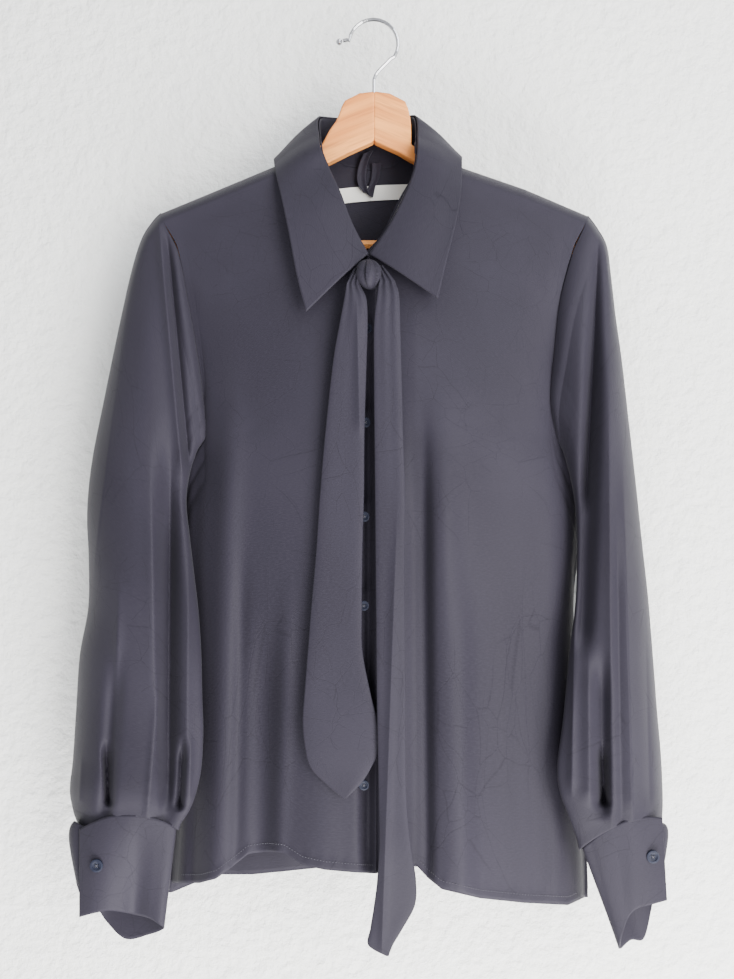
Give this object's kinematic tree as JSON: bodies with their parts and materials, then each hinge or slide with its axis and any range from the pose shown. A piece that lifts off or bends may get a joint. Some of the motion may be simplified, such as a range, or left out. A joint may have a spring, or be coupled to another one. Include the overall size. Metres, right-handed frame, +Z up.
{
  "type": "tie-neck blouse on wooden hanger",
  "caption": "Long-sleeved blouse with pointed collar, knotted neck tie, gathered sleeves and deep buttoned cuffs, hung on a wooden hanger with a metal hook.",
  "frame": {"origin": "inner top of the hanger's hook, where a rail carries it", "axes": "+Z up, -Y out of the blouse's front, +X to the right as one looks at the front (the wearer's left)"},
  "size_m": [0.5627, 0.1006, 0.8675],
  "materials": {
    "satin_crepe": "slate navy satin crepe with faint darker veins",
    "label_tape": "off-white woven tape, bare",
    "button": "polished navy grey",
    "pale_wood": "pale, thinly varnished",
    "hook_steel": "polished"
  },
  "bodies": {
    "root": {"front_right": "satin_crepe", "front_left": "satin_crepe", "back": "satin_crepe", "sleeve_right": "satin_crepe", "sleeve_left": "satin_crepe", "cuff_right": "satin_crepe", "cuff_left": "satin_crepe", "collar": "satin_crepe", "collar_stand": "satin_crepe", "tie_tail_right": "satin_crepe", "tie_tail_left": "satin_crepe", "tie_knot": "satin_crepe", "hanging_loop": "satin_crepe", "neck_label": "label_tape", "front_button_1": "button", "front_button_2": "button", "front_button_3": "button", "front_button_4": "button", "front_button_5": "button", "front_button_6": "button", "cuff_button_right": "button", "cuff_button_left": "button", "hanger_arm_right": "pale_wood", "hanger_arm_left": "pale_wood", "hanger_bar": "pale_wood", "hook": "hook_steel", "hook_tip": "hook_steel"}
  },
  "joints": []
}
